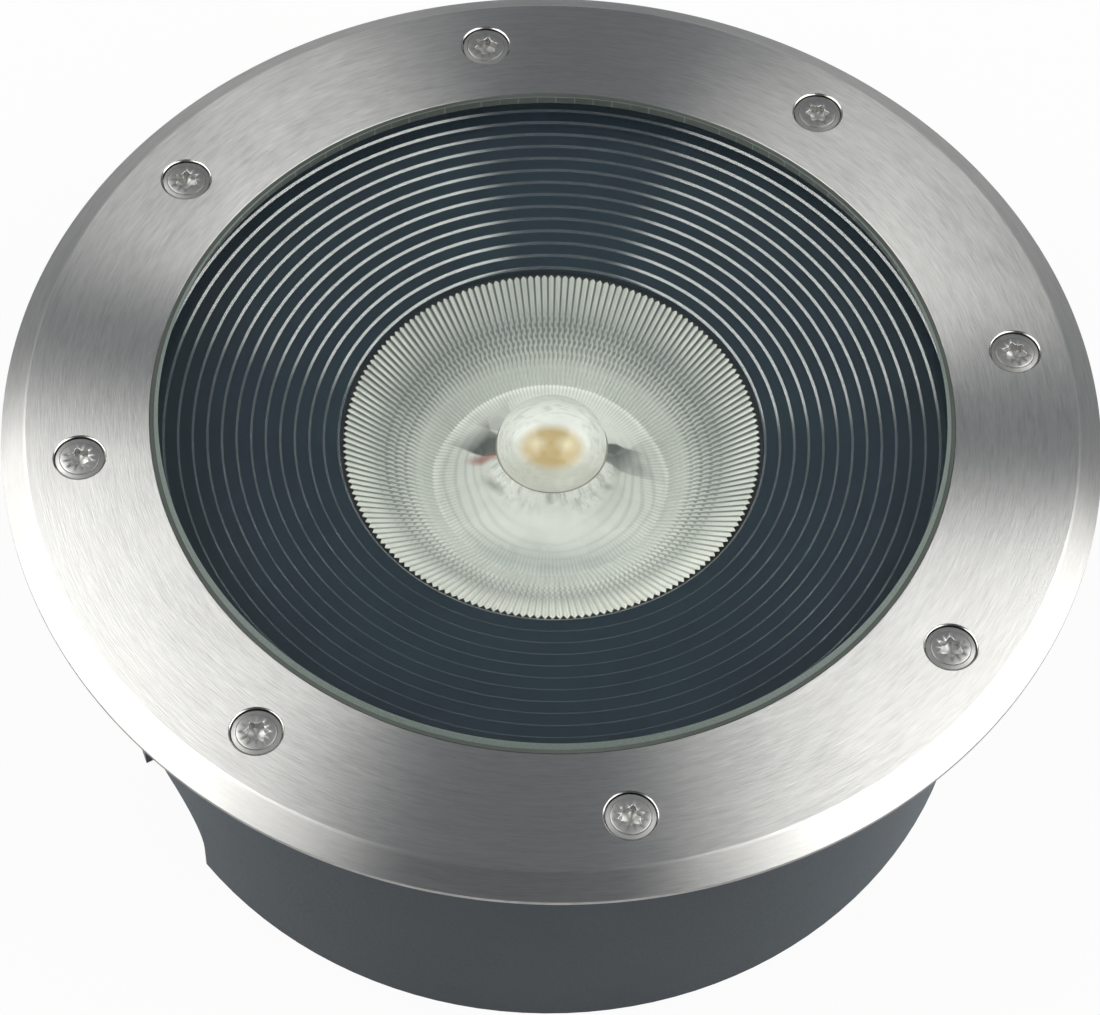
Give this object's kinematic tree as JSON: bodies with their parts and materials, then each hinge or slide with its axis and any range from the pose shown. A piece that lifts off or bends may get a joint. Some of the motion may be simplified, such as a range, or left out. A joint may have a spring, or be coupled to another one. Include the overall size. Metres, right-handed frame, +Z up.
{
  "type": "in-ground well light",
  "caption": "Recessed ground light: flush steel face ring with screws, step glass over a stepped baffle and fluted lens, in a finned housing that drops into a round sleeve.",
  "frame": {"origin": "centre of the mounting sleeve's open lower rim", "axes": "+Z up through the glass, -Y towards the viewer"},
  "size_m": [0.26, 0.26, 0.105],
  "materials": {
    "ring_steel": "brushed along the ring",
    "screw_steel": "polished stainless",
    "washer_steel": "plain stainless",
    "step_glass": "clear, ground edge",
    "glass_gasket": "grey-green silicone",
    "cast_body": "blue-grey powder coat on cast aluminium",
    "baffle_coat": "matt blue-black coat",
    "lens_clear": "clear moulded, fluted",
    "holder_black": "matt black moulded",
    "small_screws": "bright zinc",
    "thermal_pad": "soft silicone",
    "board_white": "white solder mask on metal core",
    "emitter": "yellow phosphor gel",
    "frame_white": "white moulded",
    "lead_red": "silicone insulation",
    "lead_black": "silicone insulation",
    "grommets": "black rubber",
    "driver_case": "anodised case, potted",
    "terminal_block": "pale moulded",
    "earth_brass": "brass",
    "cover_gasket": "black rubber",
    "valve_black": "black moulded",
    "gland_nickel": "nickel-plated brass",
    "gland_rubber": "black rubber",
    "sleeve_grey": "blue-grey moulded, fine matt grain"
  },
  "bodies": {
    "sleeve": {"mounting_sleeve": "sleeve_grey"},
    "lamp": {"housing": "cast_body", "baffle": "baffle_coat", "lens": "lens_clear", "lens_holder": "holder_black", "lens_holder_screws": "small_screws", "thermal_pad": "thermal_pad", "led_board": "board_white", "led_emitter": "emitter", "led_frame": "frame_white", "led_frame_screws": "small_screws", "lead_red": "lead_red", "lead_black": "lead_black", "lead_grommets": "grommets", "driver": "driver_case", "driver_screws": "small_screws", "terminal_block": "terminal_block", "earth_screw": "earth_brass", "bottom_cover": "cast_body", "bottom_cover_gasket": "cover_gasket", "bottom_cover_screws": "small_screws", "breather_valve": "valve_black", "cable_gland": "gland_nickel", "gland_rubber": "gland_rubber", "gland_nut": "gland_nickel", "gland_seal": "gland_rubber", "gland_locknut": "gland_nickel"},
    "cover": {"face_ring": "ring_steel", "face_screws": "screw_steel", "screw_washers": "washer_steel", "cover_glass": "step_glass", "glass_gasket": "glass_gasket"}
  },
  "joints": [
    {"name": "lamp_lift", "type": "slide", "parent": "sleeve", "child": "lamp", "axis": [0, 0, 1], "range_m": [0, 0.105]},
    {"name": "cover_lift", "type": "slide", "parent": "lamp", "child": "cover", "axis": [0, 0, 1], "range_m": [0, 0.06]}
  ]
}
